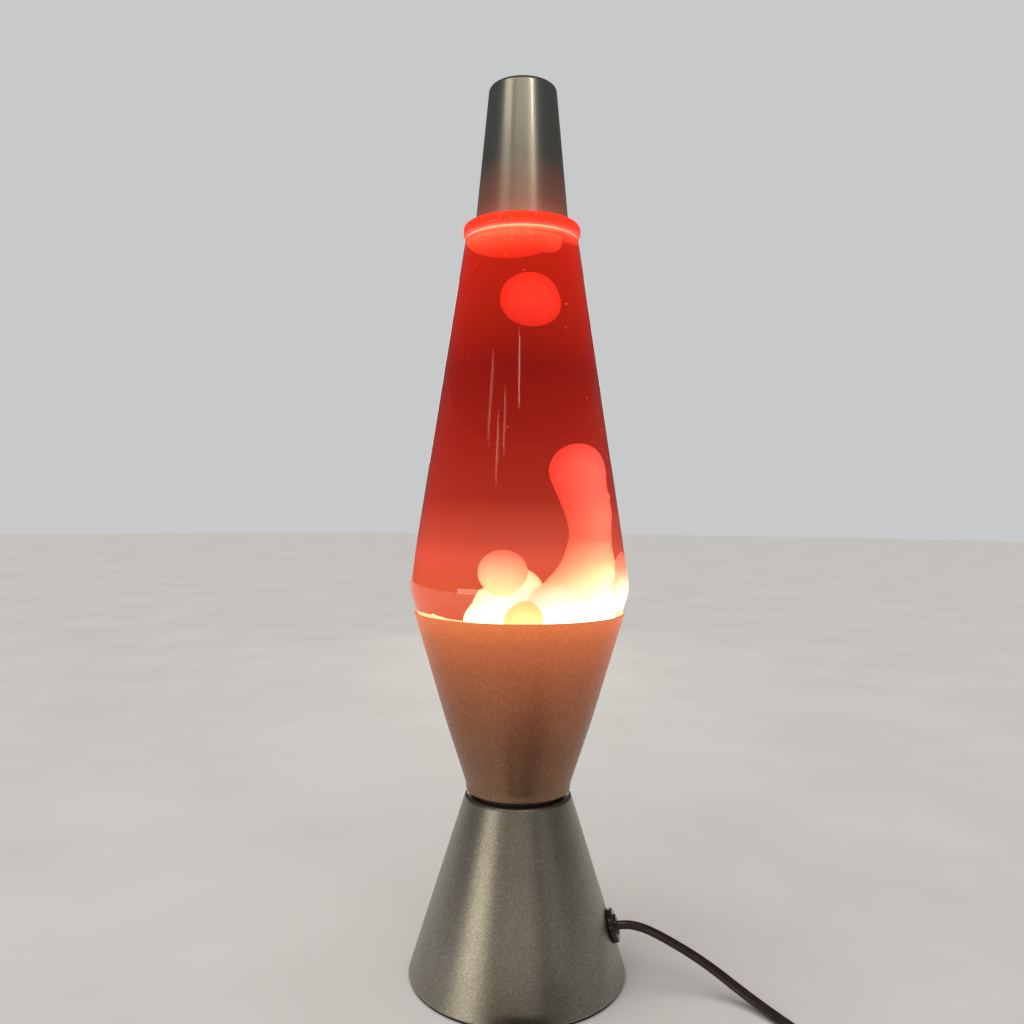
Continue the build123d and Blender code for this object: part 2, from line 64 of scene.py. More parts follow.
def make_camera():
    """The photograph's view: level with the middle of the bottle, close, leaning a little."""
    data = bpy.data.cameras.new("camera")
    data.lens = CAMERA_LENS
    data.sensor_width = SENSOR_WIDTH
    data.clip_start = NEAREST_SEEN
    view = bpy.data.objects.new("camera", data)
    scene.collection.objects.link(view)
    pitch = Matrix.Rotation(math.radians(90 - DEGREES_DOWN), 4, "X")
    lean = Matrix.Rotation(math.radians(DEGREES_OF_LEAN), 4, "Z")
    view.matrix_world = Matrix.Translation(CAMERA_PLACE) @ pitch @ lean
    scene.camera = view


make_camera()


# ---- cord ---------------------------------------------------------------------------------

LEAD_WIDTH = 5.4 * MM
LEAD_THICK = 2.8 * MM
LEAD_RADIUS = LEAD_WIDTH / 2
GROOVE_EDGE = math.radians(130)
CORE_STEPS = 12

# The coil's radius changes in the last sixth of each turn, and it climbs a layer in a fifth of a turn.
COIL_CENTRE = (0.0, -0.102)
COIL_RADII = (0.0375, 0.032, 0.0265)
COIL_TURNS = 6.5
POINTS_PER_TURN = 24
SHIFT_START, SHIFT_RATE = 5 / 6, 6
CLIMB_STARTS, CLIMB_RATE = (2.72, 5.72), 5
LAYER_STEP = 2.9 * MM

INSIDE_BUSHING = 9 * MM
BUSHING_TURN = math.radians(-6.2)
BUSHING_LEAN = math.radians(17.49)
BUSHING_MOUTH = Vector((0.0469, -0.0051, 0.0246))
bushing_out = Vector((
    math.cos(BUSHING_TURN) * math.cos(BUSHING_LEAN),
    math.sin(BUSHING_TURN) * math.cos(BUSHING_LEAN),
    math.sin(BUSHING_LEAN),
))

TO_COIL = [
    (0.0575, -0.0063, 0.0243),
    (0.0725, -0.0110, 0.0184),
    (0.0870, -0.0175, 0.0116),
    (0.1005, -0.0285, 0.0046),
    (0.1120, -0.0435, 0.0016),
    (0.1240, -0.0640, 0.0014),
    (0.1305, -0.0890, 0.0014),
    (0.1265, -0.1150, 0.0014),
    (0.1085, -0.1335, 0.0016),
    (0.0840, -0.1392, 0.0023),
    (0.0320, -0.1398, 0.0023),
    (0.0090, -0.1390, 0.0014),
]
TO_PLUG = [
    (0.0180, -0.0653, 0.0069),
    (0.0401, -0.0755, 0.0070),
    (0.0600, -0.0870, 0.0070),
    (0.0626, -0.0885, 0.0070),
]


def eased(x):
    """0 before 0, 1 after 1, and a smooth rise between."""
    x = min(max(x, 0.0), 1.0)
    return x * x * (3 - 2 * x)


def coil_points():
    """Three turns inwards, three outwards on top of them, and half a turn more on top of those."""
    turn_radii = COIL_RADII + COIL_RADII[::-1] + COIL_RADII[:1]
    last = len(turn_radii) - 1
    points = []
    for i in range(int(COIL_TURNS * POINTS_PER_TURN) + 1):
        turns = i / POINTS_PER_TURN
        k = min(int(turns), last)
        now, after = turn_radii[k], turn_radii[min(k + 1, last)]
        radius = now + (after - now) * eased((turns - k - SHIFT_START) * SHIFT_RATE)
        layer = sum(eased((turns - start) * CLIMB_RATE) for start in CLIMB_STARTS)
        angle = -math.pi / 2 - 2 * math.pi * turns
        points.append((
            COIL_CENTRE[0] + radius * math.cos(angle),
            COIL_CENTRE[1] + radius * math.sin(angle),
            LEAD_THICK / 2 + layer * LAYER_STEP,
        ))
    return points


def lead_profile():
    """Cross-section of the flat twin lead, for a radius of 1: two round cores and a shallow groove."""
    data = bpy.data.curves.new("lead_profile", "CURVE")
    data.dimensions = "2D"
    core = LEAD_THICK / 2
    apart = LEAD_WIDTH / 2 - core
    outline = []
    for side in (1, -1):
        for i in range(CORE_STEPS + 1):
            angle = -GROOVE_EDGE + 2 * GROOVE_EDGE * i / CORE_STEPS
            outline.append((side * (apart + core * math.cos(angle)), side * core * math.sin(angle)))
    spline = data.splines.new("POLY")
    spline.points.add(len(outline) - 1)
    for point, (x, y) in zip(spline.points, outline):
        point.co = (x / LEAD_RADIUS, y / LEAD_RADIUS, 0, 1)
    spline.use_cyclic_u = True
    profile = bpy.data.objects.new("lead_profile", data)
    scene.collection.objects.link(profile)
    profile.hide_render = True
    profile.hide_viewport = True
    return profile


def make_cord():
    """One flat lead from inside the bushing to the plug, all its coiled length included."""
    data = bpy.data.curves.new("cord", "CURVE")
    data.dimensions = "3D"
    data.twist_mode = "Z_UP"
    data.resolution_u = 4
    data.bevel_mode = "OBJECT"
    data.bevel_object = lead_profile()
    data.use_fill_caps = True
    inside = BUSHING_MOUTH - INSIDE_BUSHING * bushing_out
    route = [inside, BUSHING_MOUTH] + TO_COIL + coil_points() + TO_PLUG
    spline = data.splines.new("NURBS")
    spline.points.add(len(route) - 1)
    for point, place in zip(spline.points, route):
        point.co = (*place, 1)
        point.radius = LEAD_RADIUS
    spline.order_u = 3
    spline.use_endpoint_u = True
    cord = bpy.data.objects.new("cord", data)
    scene.collection.objects.link(cord)
    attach(cord, "base")
    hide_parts("power_cord", "cord_coil", "plug_lead")
    return cord


cord = make_cord()


# ---- mesh helpers -------------------------------------------------------------------------


def add_mesh(name, vertices, faces, body, material, sharp=None):
    """A smooth-shaded piece in the row frame; edges over a sharp angle, in degrees, stay crisp."""
    mesh = bpy.data.meshes.new(name)
    mesh.from_pydata([tuple(v) for v in vertices], [], [tuple(f) for f in faces])
    mesh.shade_smooth()
    if sharp:
        mesh.set_sharp_from_angle(angle=math.radians(sharp))
    mesh.materials.append(material)
    piece = bpy.data.objects.new(name, mesh)
    scene.collection.objects.link(piece)
    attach(piece, body)
    return piece


def rounded(corners, steps=8):
    """An outline with its corners rounded; a corner is (x, y) or (x, y, rounding)."""
    outline = []
    for i, corner in enumerate(corners):
        here = Vector(corner[:2])
        if len(corner) == 2 or i in (0, len(corners) - 1):
            outline.append(here)
            continue
        back = (Vector(corners[i - 1][:2]) - here).normalized()
        on = (Vector(corners[i + 1][:2]) - here).normalized()
        half = back.angle(on) / 2
        reach = corner[2] / math.tan(half)
        centre = here + (back + on).normalized() * corner[2] / math.sin(half)
        start = here + back * reach - centre
        sweep = (here + on * reach - centre).angle_signed(start)
        for k in range(steps + 1):
            outline.append(centre + Matrix.Rotation(sweep * k / steps, 2) @ start)
    return outline


def lathe(name, corners, body, material, turns=128, sharp=35):
    """A closed solid turned about the lamp's axis, from an outline that starts and ends on the axis."""
    outline = rounded(corners)
    vertices = [(0, 0, outline[0].y * MM)]
    for point in outline[1:-1]:
        radius = point.x * MM
        for k in range(turns):
            angle = 2 * math.pi * k / turns
            vertices.append((radius * math.cos(angle), radius * math.sin(angle), point.y * MM))
    vertices.append((0, 0, outline[-1].y * MM))
    last = len(vertices) - 1
    faces = []
    rings = len(outline) - 2
    for k in range(turns):
        on = (k + 1) % turns
        faces.append((0, 1 + on, 1 + k))
        for ring in range(rings - 1):
            low = 1 + ring * turns
            faces.append((low + k, low + on, low + turns + on, low + turns + k))
        top = 1 + (rings - 1) * turns
        faces.append((top + k, top + on, last))
    return add_mesh(name, vertices, faces, body, material, sharp)


# ---- wax shapes as fields of distance, in millimetres ---------------------------------------


def space_between(low, high, step):
    """A grid of points that fills a box."""
    axes = [np.arange(a, b + step, step) for a, b in zip(low, high)]
    return np.stack(np.meshgrid(*axes, indexing="ij"), axis=-1)


def ball(space, centre, radii):
    """Distance to a ball, or nearly so to an ellipsoid given by three radii."""
    radii = np.array(radii, float) * np.ones(3)
    return (np.linalg.norm((space - centre) / radii, axis=-1) - 1) * radii.min()


def capsule(space, start, end, radius):
    """Distance to a round bar with round ends."""
    along = np.subtract(end, start)
    share = np.clip((space - start) @ along / (along @ along), 0, 1)
    return np.linalg.norm(space - start - share[..., None] * along, axis=-1) - radius


def blended(fields, soft):
    """One field from several, with the joins filled in over about the soft length."""
    made = fields[0]
    for field in fields[1:]:
        share = np.clip(0.5 + 0.5 * (field - made) / soft, 0, 1)
        made = field * (1 - share) + made * share - soft * share * (1 - share)
    return made


def net_surface(space, field):
    """Vertices and faces of the closed surface where a field is zero, one vertex in each cell it crosses."""
    cells = np.array(field.shape) - 1
    corners = [np.array(c) for c in np.ndindex(2, 2, 2)]
    total = np.zeros((*cells, 3))
    count = np.zeros(cells)

    def corner_of(values, offset):
        return values[tuple(slice(o, o + n) for o, n in zip(offset, cells))]

    for a in corners:
        for axis in range(3):
            if a[axis]:
                continue
            b = a + np.eye(3, dtype=int)[axis]
            fa, fb = corner_of(field, a), corner_of(field, b)
            crosses = (fa < 0) != (fb < 0)
            share = (fa[crosses] / (fa[crosses] - fb[crosses]))[:, None]
            pa, pb = corner_of(space, a)[crosses], corner_of(space, b)[crosses]
            total[crosses] += pa + share * (pb - pa)
            count[crosses] += 1
    used = count > 0
    number = -np.ones(tuple(cells), int)
    number[used] = np.arange(used.sum())
    vertices = total[used] / count[used][:, None]
    faces = []
    for axis in range(3):
        u, v = [k for k in range(3) if k != axis]
        inner = [slice(1, n) for n in cells]
        inner[axis] = slice(0, cells[axis])
        nxt = list(inner)
        nxt[axis] = slice(1, cells[axis] + 1)
        here, there = field[tuple(inner)] < 0, field[tuple(nxt)] < 0
        for rising in (True, False):
            at = np.argwhere((here & ~there) if rising else (there & ~here))
            at[:, u] += 1
            at[:, v] += 1
            quad = []
            for du, dv in ((1, 1), (0, 1), (0, 0), (1, 0)):
                cell = at.copy()
                cell[:, u] -= du
                cell[:, v] -= dv
                quad.append(number[tuple(cell.T)])
            order = quad if rising != (axis == 1) else quad[::-1]
            faces.append(np.stack(order, axis=-1))
    return vertices, np.concatenate(faces)


SMOOTHING_PASSES = 6


def wax_piece(name, shape, low, high, step, body, material):
    """A wax piece from a function that gives its field over a grid."""
    space = space_between(low, high, step)
    vertices, faces = net_surface(space, shape(space))
    piece = add_mesh(name, vertices * MM, faces.tolist(), body, material)
    smooth = piece.modifiers.new("smooth", "SMOOTH")
    smooth.factor = 0.5
    smooth.iterations = SMOOTHING_PASSES
    return piece


# The bottle's outer wall, from its foot to the bead ring, in millimetres
FOOT_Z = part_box("bottle")[0].z / MM
WIDEST_Z, WIDEST_R = 181.1, 51.4
WIDEST_SOFT = 1.6
BEAD_Z, BEAD_TOP_Z = 344.2, 349.3
CONE_TOP_R = 26.15
FOOT_R = 37.23
WALL = 2.65
WALL_TO_WAX = 0.25
FLOOR_TO_WAX = 4.6
WALL_LEAN = 0.97
LIQUID_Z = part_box("lamp_liquid")[1].z / MM


def wall_radius(z):
    """Radius that wax may reach inside the bottle at a height, with the widest corner's rounding."""
    taper = FOOT_R + (z - FOOT_Z) * (WIDEST_R - FOOT_R) / (WIDEST_Z - FOOT_Z)
    cone = WIDEST_R - (z - WIDEST_Z) * (WIDEST_R - CONE_TOP_R) / (BEAD_Z - WIDEST_Z)
    share = np.clip(0.5 + 0.5 * (cone - taper) / WIDEST_SOFT, 0, 1)
    outer = cone * (1 - share) + taper * share - WIDEST_SOFT * share * (1 - share)
    return outer - WALL - WALL_TO_WAX


def in_bottle(space, field):
    """A field cut off at the bottle's inner wall and floor."""
    radius = np.hypot(space[..., 0], space[..., 1])
    wall = (radius - wall_radius(space[..., 2])) * WALL_LEAN
    floor = FOOT_Z + FLOOR_TO_WAX - space[..., 2]
    return np.maximum(np.maximum(field, wall), floor)


# The column's middle (x, y), height and radius
COLUMN = [
    (24.2, -8.0, 170.0, 19.8),
    (24.9, -9.0, 181.0, 18.0),
    (25.4, -10.5, 185.5, 15.4),
    (25.6, -11.5, 189.5, 12.6),
    (26.0, -12.5, 194.0, 10.7),
    (26.5, -13.4, 200.0, 9.4),
    (27.0, -14.0, 205.0, 9.0),
    (27.0, -14.2, 210.0, 9.4),
    (26.9, -14.4, 214.0, 10.2),
    (25.7, -14.4, 219.5, 10.9),
    (23.9, -14.2, 225.2, 11.3),
    (22.8, -14.0, 230.0, 11.6),
    (22.5, -14.0, 235.0, 11.9),
]


POOL_Z = 168.6


def column_field(space):
    """The rising column: round, with its middle and radius set at a few heights."""
    x, y, z, radius = np.array(COLUMN).T
    height = space[..., 2]
    away = np.hypot(space[..., 0] - np.interp(height, z, x), space[..., 1] - np.interp(height, z, y))
    side = away - np.interp(height, z, radius)
    return np.maximum(side, height - z[-1])


def mass_field(space):
    """The molten wax at the bottom: pool, lumps, and the column with its head."""
    head = ball(space, (22.45, -14.0, 234.6), 11.9)
    swelling = ball(space, (35.2, -15.0, 223.0), 2.3)
    column = blended([column_field(space), head, swelling], soft=1.6)
    pool = space[..., 2] - POOL_Z
    mound = ball(space, (19.0, -11.0, 157.5), 27.0)
    front = ball(space, (13.8, -23.0, 173.0), (13.0, 12.0, 11.0))
    right = ball(space, (28.0, -6.0, 168.0), 23.0)
    rear = ball(space, (26.0, 22.0, 166.0), 18.0)
    low = blended([pool, mound, right, rear], soft=2.2)
    standing = blended([low, column], soft=1.4)
    return in_bottle(space, blended([standing, front], soft=6.0))


def lumps_field(space):
    """The two lumps on the left of the mass, one under the ball and one behind it."""
    under = ball(space, (-6.1, -15.0, 170.0), (14.7, 17.8, 13.0))
    behind = ball(space, (-0.8, -12.0, 178.1), (9.8, 12.0, 12.2))
    return in_bottle(space, blended([under, behind], soft=1.4))


def wall_wax_field(space):
    """Wax on the bottle's wall: a peak that climbs beside the column, and a thin rim on the left."""
    peak = ball(space, (44.8, -12.0, 190.4), 8.0)
    skirt = ball(space, (43.5, -14.0, 176.0), (8.0, 10.0, 13.0))
    bridge = ball(space, (37.0, -14.0, 177.0), 10.0)
    rim = capsule(space, (-46.0, -6.0, 169.8), (-37.0, -28.0, 169.6), 2.4)
    rim_end = capsule(space, (-37.0, -28.0, 169.6), (-24.0, -40.0, 168.9), 2.3)
    return in_bottle(space, blended([peak, skirt, bridge, rim, rim_end], soft=3.0))


def ball_field(space):
    """The ball of wax beside the column, a little flattened where it rests."""
    return ball(space, (-6.6, -22.0, 189.1), (9.5, 9.4, 9.9))


def dome_field(space):
    """The small dome at the front, just inside the cup's lip."""
    return in_bottle(space, ball(space, (2.0, -29.8, 170.3), 9.1))


PANCAKE_DEPTH = 1.8


def pancake_field(space):
    """The flat blob under the liquid's surface, with a small lobe on its right."""
    lens = ball(space, (-4.4, -5.0, 341.2), (16.0, 15.0, 10.2))
    shelf = ball(space, (-3.0, -4.0, 342.0), (17.4, 16.0, 6.0))
    lobe = ball(space, (9.2, -8.5, 337.8), (5.6, 6.0, 4.6))
    field = blended([lens, shelf, lobe], soft=1.8)
    return np.maximum(in_bottle(space, field), space[..., 2] - (LIQUID_Z - PANCAKE_DEPTH))


def blob_field(space):
    """The free ball near the top, not quite round."""
    main = ball(space, (3.0, -12.0, 311.6), (11.2, 11.1, 11.9))
    low = ball(space, (4.3, -12.0, 308.4), (10.2, 10.4, 9.3))
    return blended([main, low], soft=2.0)


# ---- materials ----------------------------------------------------------------------------


def colour(red, green, blue):
    """A colour given as it looks on screen, 0 to 255, as linear light."""
    parts = [c / 255 for c in (red, green, blue)]
    return [c / 12.92 if c <= 0.04045 else ((c + 0.055) / 1.055) ** 2.4 for c in parts] + [1.0]


def new_material(name, base, roughness, metallic=0.0, **sockets):
    """A material with one Principled shader; other sockets are named with _ for each space."""
    made = bpy.data.materials.new(name)
    made.use_nodes = True
    shader = made.node_tree.nodes["Principled BSDF"]
    shader.inputs["Base Color"].default_value = base
    shader.inputs["Roughness"].default_value = roughness
    shader.inputs["Metallic"].default_value = metallic
    for socket, value in sockets.items():
        shader.inputs[socket.replace("_", " ")].default_value = value
    return made, made.node_tree, shader


def place_in(tree, stretch=(1, 1, 1)):
    """The row frame's coordinates in metres, stretched along each axis."""
    where = tree.nodes.new("ShaderNodeTexCoord")
    mapping = tree.nodes.new("ShaderNodeMapping")
    mapping.inputs["Scale"].default_value = stretch
    tree.links.new(where.outputs["Object"], mapping.inputs["Vector"])
    return mapping.outputs["Vector"]


def noise(tree, scale, detail=3.0, rough=0.55, stretch=(1, 1, 1)):
    """Soft noise; the scale is in features per metre."""
    made = tree.nodes.new("ShaderNodeTexNoise")
    made.inputs["Scale"].default_value = scale
    made.inputs["Detail"].default_value = detail
    made.inputs["Roughness"].default_value = rough
    tree.links.new(place_in(tree, stretch), made.inputs["Vector"])
    return made.outputs["Fac"]


def flecks(tree, scale):
    """Small cells, each with its own shade, as in metallic paint."""
    cells = tree.nodes.new("ShaderNodeTexVoronoi")
    cells.inputs["Scale"].default_value = scale
    tree.links.new(place_in(tree), cells.inputs["Vector"])
    shade = tree.nodes.new("ShaderNodeSeparateColor")
    tree.links.new(cells.outputs["Color"], shade.inputs["Color"])
    return shade.outputs["Red"]


def spread(tree, value, low, high, start=0.0, end=1.0):
    """A value between start and end, mapped to between low and high."""
    made = tree.nodes.new("ShaderNodeMapRange")
    made.inputs["From Min"].default_value = start
    made.inputs["From Max"].default_value = end
    made.inputs["To Min"].default_value = low
    made.inputs["To Max"].default_value = high
    tree.links.new(value, made.inputs["Value"])
    return made.outputs["Result"]


def ramp(tree, value, stops):
    """Colours along a value, from stops of (value, colour)."""
    made = tree.nodes.new("ShaderNodeValToRGB")
    elements = made.color_ramp.elements
    elements[0].position, elements[0].color = stops[0]
    elements[1].position, elements[1].color = stops[-1]
    for position, tone in stops[1:-1]:
        elements.new(position).color = tone
    tree.links.new(value, made.inputs["Fac"])
    return made.outputs["Color"]


def height(tree, low, high):
    """Height above the foot, 0 at low and 1 at high, both in millimetres."""
    parts = tree.nodes.new("ShaderNodeSeparateXYZ")
    tree.links.new(place_in(tree), parts.inputs["Vector"])
    return spread(tree, parts.outputs["Z"], 0, 1, low * MM, high * MM)


def by_height(tree, stops):
    """Colours by height, from stops of (millimetres, colour)."""
    low, high = stops[0][0], stops[-1][0]
    return ramp(tree, height(tree, low, high), [((z - low) / (high - low), tone) for z, tone in stops])


def mixed(tree, first, second, share, kind="MULTIPLY"):
    """One colour laid over another."""
    made = tree.nodes.new("ShaderNodeMix")
    made.data_type = "RGBA"
    made.blend_type = kind
    made.inputs["Factor"].default_value = share
    tree.links.new(first, made.inputs["A"])
    tree.links.new(second, made.inputs["B"])
    return made.outputs["Result"]


def bump(tree, shader, height_value, depth, strength=1.0):
    """Relief of a depth in metres."""
    made = tree.nodes.new("ShaderNodeBump")
    made.inputs["Distance"].default_value = depth
    made.inputs["Strength"].default_value = strength
    tree.links.new(height_value, made.inputs["Height"])
    tree.links.new(made.outputs["Normal"], shader.inputs["Normal"])


def lit_by_glow(tree, shader, base, glow, tint):
    """Paints light on a surface by height: a glow added as emission for the light that wax and liquid throw
    on it, and a warm tint laid over its colour for the same light.
    """
    tree.links.new(mixed(tree, base, by_height(tree, tint), 1.0), shader.inputs["Base Color"])
    tree.links.new(by_height(tree, glow), shader.inputs["Emission Color"])
    shader.inputs["Emission Strength"].default_value = 1.0


def silver_paint(name, glow=None, tint=None):
    """Metallic paint with fine flecks over spun aluminium, plain or with the bottle's warm light painted on
    by height.
    """
    made, tree, shader = new_material(name, colour(190, 188, 180), 0.4, 1.0)
    grain = ramp(tree, flecks(tree, 3600), [
        (0.0, colour(148, 145, 135)), (0.7, colour(166, 163, 152)), (1.0, colour(200, 198, 188)),
    ])
    uneven = ramp(tree, noise(tree, 22, 4), [(0.3, colour(236, 236, 234)), (0.7, colour(255, 255, 255))])
    base = mixed(tree, grain, uneven, 1.0)
    tree.links.new(base, shader.inputs["Base Color"])
    rough = spread(tree, noise(tree, 1500, 4), 0.31, 0.42, 0.3, 0.7)
    tree.links.new(rough, shader.inputs["Roughness"])
    bump(tree, shader, noise(tree, 2600, 2, 0.6), 0.03 * MM, 0.5)
    if glow:
        lit_by_glow(tree, shader, base, glow, tint)
    return made


def cap_metal():
    """Lacquered aluminium with faint lines from spinning, with the bead ring's red light painted on at its
    foot.
    """
    made, tree, shader = new_material(
        "cap_metal", colour(206, 206, 200), 0.3, 1.0, Coat_Weight=0.8, Coat_Roughness=0.06, Coat_IOR=1.5,
    )
    lines = noise(tree, 60, 5, 0.65, (1, 1, 55))
    tone = ramp(tree, lines, [(0.3, colour(186, 187, 178)), (0.7, colour(202, 203, 195))])
    # Painted light: the bead ring's red glow is added as emission at the cap's foot, and a warm tint is laid
    # over its colour there, both fading upwards.
    lit_by_glow(tree, shader, tone, [
        (350, (0.28, 0.060, 0.032, 1)), (357, (0.13, 0.026, 0.014, 1)), (378, (0, 0, 0, 1)),
    ], [
        (350, (1, 0.74, 0.66, 1)), (372, (1, 0.93, 0.88, 1)), (400, (1, 1, 1, 1)),
    ])
    tree.links.new(spread(tree, lines, 0.29, 0.34, 0.3, 0.7), shader.inputs["Roughness"])
    bump(tree, shader, lines, 0.01 * MM, 0.15)
    return made


def metal(name, base, roughness, depth=0.01, scale=900):
    """Bare metal with fine scratches and a little tarnish."""
    made, tree, shader = new_material(name, base, roughness, 1.0)
    dark = [c * 0.72 for c in base[:3]] + [1.0]
    tone = ramp(tree, noise(tree, 160, 5), [(0.32, dark), (0.6, base)])
    tree.links.new(tone, shader.inputs["Base Color"])
    wear = noise(tree, scale, 3, 0.6, (1, 1, 0.2))
    dull = spread(tree, wear, roughness * 0.8, roughness * 1.35, 0.3, 0.7)
    tree.links.new(dull, shader.inputs["Roughness"])
    bump(tree, shader, wear, depth * MM, 0.4)
    return made


def moulding(name, base, roughness, grain=0.03, scale=2400, **sockets):
    """Moulded plastic, rubber or vinyl with a fine grain and slightly uneven gloss."""
    made, tree, shader = new_material(name, base, roughness, **sockets)
    light = [min(c * 1.5 + 0.004, 1) for c in base[:3]] + [1.0]
    tone = ramp(tree, noise(tree, 240, 5), [(0.35, base), (0.75, light)])
    tree.links.new(tone, shader.inputs["Base Color"])
    gloss = spread(tree, noise(tree, 90, 4), roughness * 0.85, min(roughness * 1.2, 1), 0.3, 0.7)
    tree.links.new(gloss, shader.inputs["Roughness"])
    bump(tree, shader, noise(tree, scale, 3, 0.6), grain * MM, 0.5)
    return made


def lets_lamps_through(made):
    """Shadow rays pass the glass, so that the lamps light what is behind it."""
    tree = made.node_tree
    shader = tree.nodes["Principled BSDF"]
    path = tree.nodes.new("ShaderNodeLightPath")
    clear = tree.nodes.new("ShaderNodeBsdfTransparent")
    mix = tree.nodes.new("ShaderNodeMixShader")
    tree.links.new(path.outputs["Is Shadow Ray"], mix.inputs["Fac"])
    tree.links.new(shader.outputs["BSDF"], mix.inputs[1])
    tree.links.new(clear.outputs["BSDF"], mix.inputs[2])
    tree.links.new(mix.outputs["Shader"], tree.nodes["Material Output"].inputs["Surface"])


GLASS_GLOW = 16.0


def bottle_glass():
    """Clear blown glass. The bead ring's glow is painted on as emission over a red base colour, and the
    wall's volume gives off painted red light, in place of the light that glass carries up from the liquid.
    """
    made, tree, shader = new_material("bottle_glass", (1, 1, 1, 1), 0.0, IOR=1.5, Transmission_Weight=1.0)
    white, dark = (1, 1, 1, 1), (0, 0, 0, 1)
    # Painted glow: this mask lights the bead ring as emission and makes it opaque and red.
    painted_bead_glow = by_height(tree, [
        (340, dark),
        (BEAD_Z - 0.3, dark),
        (BEAD_Z + 0.1, white),
        (BEAD_TOP_Z + 0.4, white),
        (BEAD_TOP_Z + 0.8, dark),
        (360, dark),
    ])
    tree.links.new(spread(tree, painted_bead_glow, 1, 0), shader.inputs["Transmission Weight"])
    tree.links.new(painted_bead_glow, shader.inputs["Emission Strength"])
    shader.inputs["Emission Color"].default_value = colour(255, 58, 30)
    tone = ramp(tree, painted_bead_glow, [(0.0, white), (1.0, (0.25, 0.01, 0.005, 1))])
    tree.links.new(tone, shader.inputs["Base Color"])
    bump(tree, shader, noise(tree, 45, 2), 0.03 * MM, 0.25)
    lets_lamps_through(made)
    # Painted light: the glass's volume gives off a red glow.
    wall_light = tree.nodes.new("ShaderNodeEmission")
    wall_light.inputs["Color"].default_value = (1.0, 0.055, 0.04, 1)
    wall_light.inputs["Strength"].default_value = GLASS_GLOW
    tree.links.new(wall_light.outputs["Emission"], tree.nodes["Material Output"].inputs["Volume"])
    return made


LIQUID_TINT = (0.70, 0.05, 0.03, 1)
LIQUID_DENSITY = 82.0


def red_liquid():
    """Clear red liquid whose light is painted on as emission by height: brighter towards the bulb, dim in the
    middle and brighter again near the top.
    """
    made, tree, shader = new_material("red_liquid", (1, 1, 1, 1), 0.0, IOR=1.37, Transmission_Weight=1.0)
    tone = by_height(tree, [
        (140, (0.54, 0.060, 0.008, 1)),
        (171, (0.56, 0.070, 0.012, 1)),
        (179, (0.61, 0.100, 0.028, 1)),
        (187, (0.58, 0.098, 0.038, 1)),
        (197, (0.60, 0.092, 0.048, 1)),
        (205, (0.42, 0.064, 0.032, 1)),
        (213, (0.36, 0.046, 0.022, 1)),
        (222, (0.245, 0.022, 0.010, 1)),
        (251, (0.17, 0.008, 0.002, 1)),
        (280, (0.085, 0.003, 0.001, 1)),
        (308, (0.21, 0.009, 0.001, 1)),
        (331, (0.27, 0.010, 0.001, 1)),
        (LIQUID_Z - 0.9, (0.34, 0.016, 0.004, 1)),
        # Painted highlight: the pale band at the top stands for the bright line of the liquid's surface seen
        # from below.
        (LIQUID_Z - 0.6, (0.70, 0.260, 0.130, 1)),
        (LIQUID_Z + 1, (0.70, 0.260, 0.130, 1)),
    ])
    tree.links.new(tone, shader.inputs["Emission Color"])
    shader.inputs["Emission Strength"].default_value = 1.0
    soak = tree.nodes.new("ShaderNodeVolumeAbsorption")
    soak.inputs["Color"].default_value = LIQUID_TINT
    soak.inputs["Density"].default_value = LIQUID_DENSITY
    tree.links.new(soak.outputs["Volume"], tree.nodes["Material Output"].inputs["Volume"])
    return made


def wax(name, depth, stops):
    """Translucent wax with its light painted on as emission by height, standing in for the bulb's light from
    below. The stops are (height, colour as it shows through the liquid).
    """
    seen = [math.exp((c - 1) * LIQUID_DENSITY * depth * MM) for c in LIQUID_TINT[:3]]
    glow = [(z, [part / share for part, share in zip(tone, seen)]) for z, tone in stops]
    strength = max(max(tone) for _, tone in glow)
    made, tree, shader = new_material(name, (0.30, 0.16, 0.10, 1), 0.35)
    tone = by_height(tree, [(z, [part / strength for part in tone] + [1.0]) for z, tone in glow])
    cloud = ramp(tree, noise(tree, 70, 4), [(0.25, (0.90, 0.88, 0.85, 1)), (0.6, (1, 1, 1, 1))])
    tree.links.new(mixed(tree, tone, cloud, 1.0), shader.inputs["Emission Color"])
    shader.inputs["Emission Strength"].default_value = strength
    bump(tree, shader, noise(tree, 120, 2), 0.1 * MM, 0.2)
    return made


def clear_glass(name, tint):
    """Thin clear glass that lets the lamps through."""
    made, tree, shader = new_material(name, tint, 0.0, IOR=1.5, Transmission_Weight=1.0)
    bump(tree, shader, noise(tree, 60, 2), 0.02 * MM, 0.2)
    lets_lamps_through(made)
    return made


def glowing(name, tone, strength):
    """Something hot, or something whose light is painted on, glowing as emission and a little uneven along
    its length.
    """
    made, tree, shader = new_material(name, (0.2, 0.1, 0.05, 1), 0.5)
    cooler = [c * 0.6 for c in tone[:3]] + [1.0]
    heat = ramp(tree, noise(tree, 400), [(0.3, cooler), (0.6, tone)])
    tree.links.new(heat, shader.inputs["Emission Color"])
    shader.inputs["Emission Strength"].default_value = strength
    return made


